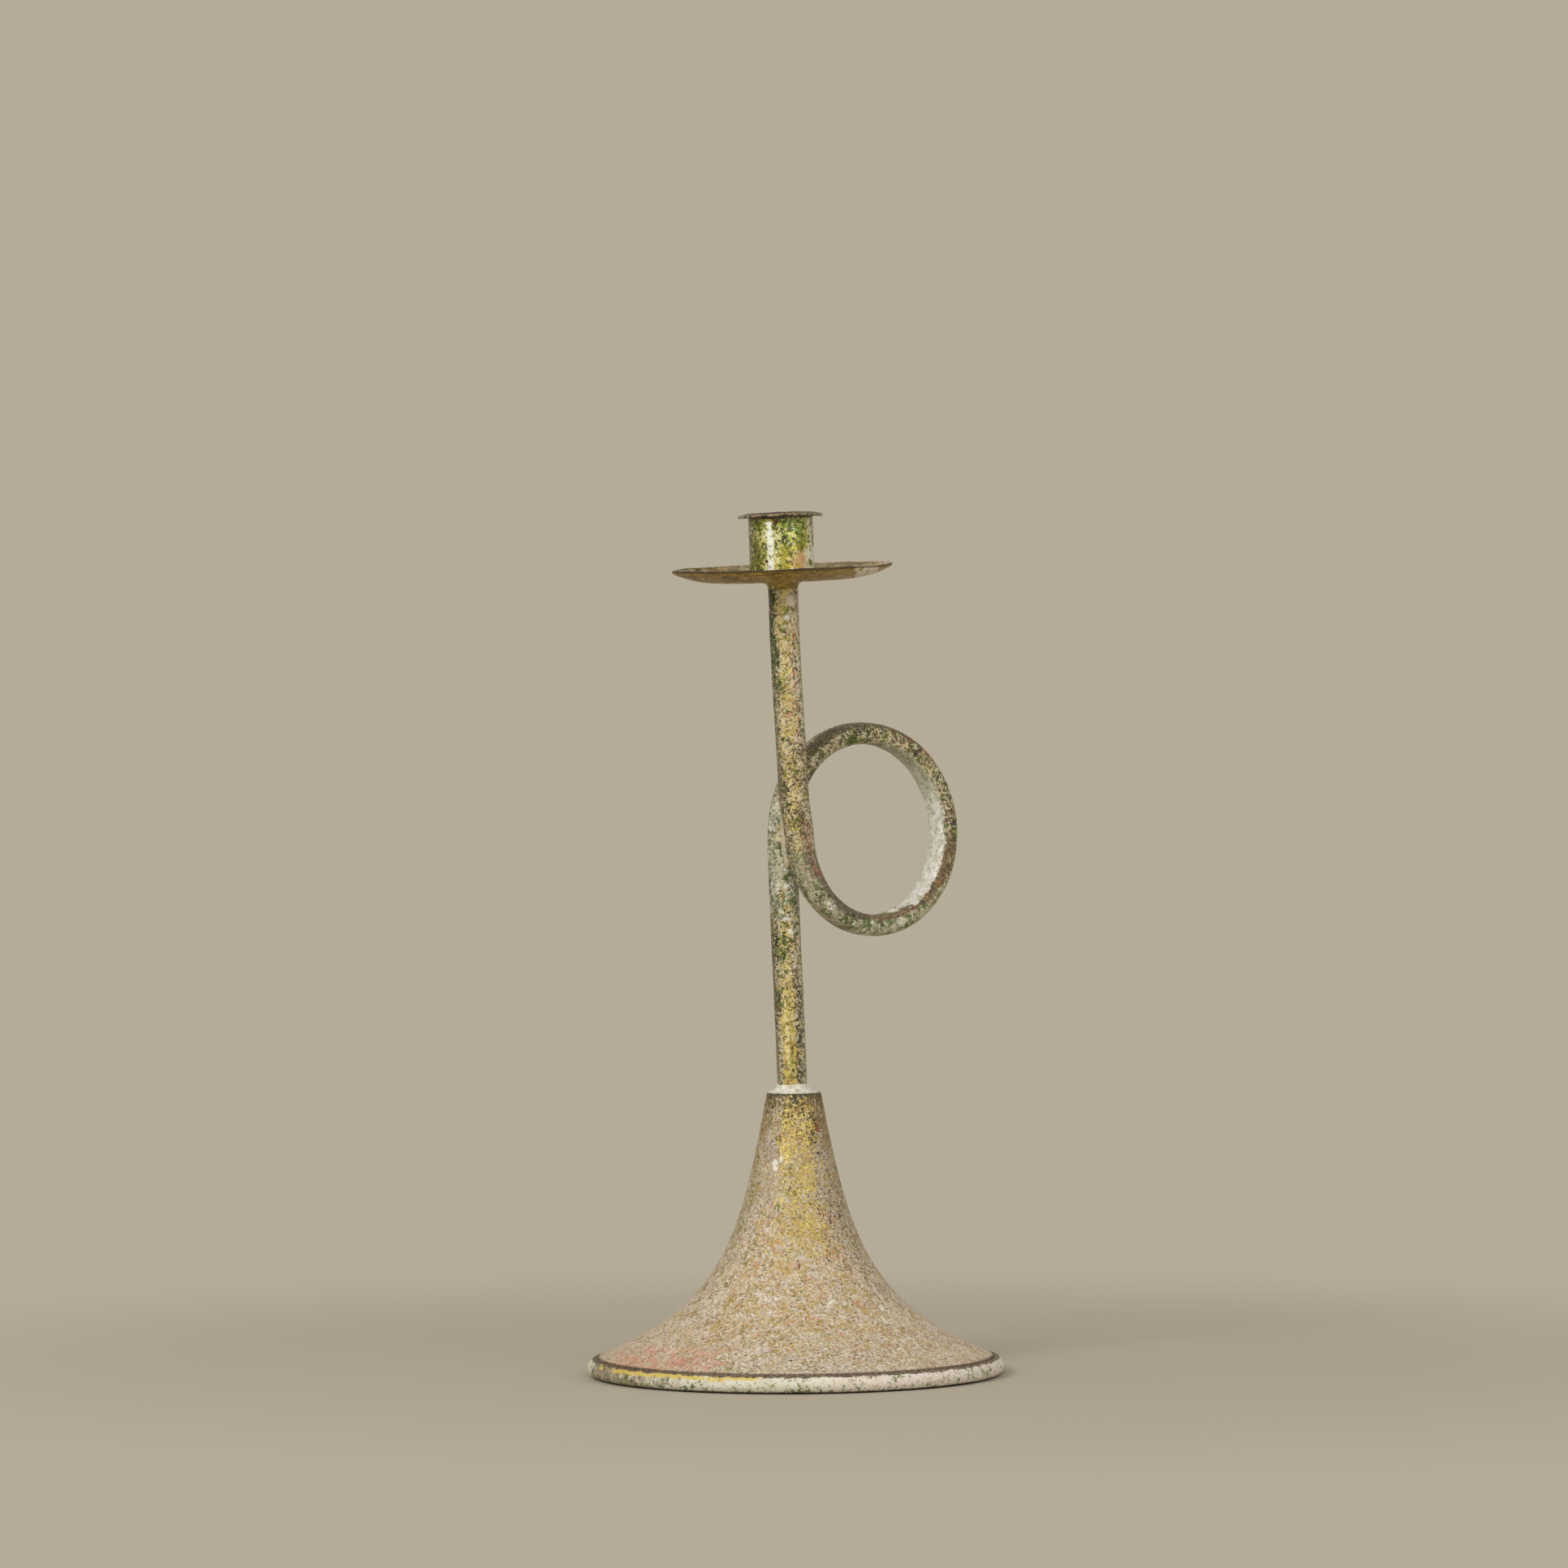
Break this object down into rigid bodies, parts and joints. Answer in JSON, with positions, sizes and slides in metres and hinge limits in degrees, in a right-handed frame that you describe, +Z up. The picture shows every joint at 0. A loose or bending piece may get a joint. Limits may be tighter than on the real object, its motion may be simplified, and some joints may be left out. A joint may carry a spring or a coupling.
{
  "type": "taper candle holder",
  "caption": "Taper candle holder shaped as a coiled post horn, standing on its flared bell, with a looped tube stem, a shallow drip pan and a flanged candle cup.",
  "frame": {"origin": "on the table at the centre of the bell's mouth", "axes": "+Z up; +X towards the loop; the upper stem is the run at -Y, on the side that the picture is taken from"},
  "size_m": [0.1686, 0.1686, 0.3494],
  "materials": {
    "bell_paint": "worn cream and buff paint with gilt, olive and dark specks",
    "stem_paint": "worn cream and gilt paint with moss green, brown and red streaks",
    "weld_paint": "thick pale primer over a lumpy weld",
    "pan_paint": "brushed ochre and olive paint with dark worn edges",
    "cup_gilding": "glossy green-gold metallic paint with pale flakes and rust spots",
    "bare_steel": "plain dull steel"
  },
  "bodies": {
    "root": {"bell_shell": "bell_paint", "rim_wire": "bare_steel", "neck_cap": "bell_paint", "foot_weld": "weld_paint", "stem_tube": "stem_paint", "crossing_braze": "weld_paint", "pan_collar": "pan_paint", "drip_pan": "pan_paint", "candle_cup": "cup_gilding", "cup_washer": "bare_steel", "cup_screw": "bare_steel", "stem_plug": "bare_steel"}
  },
  "joints": []
}
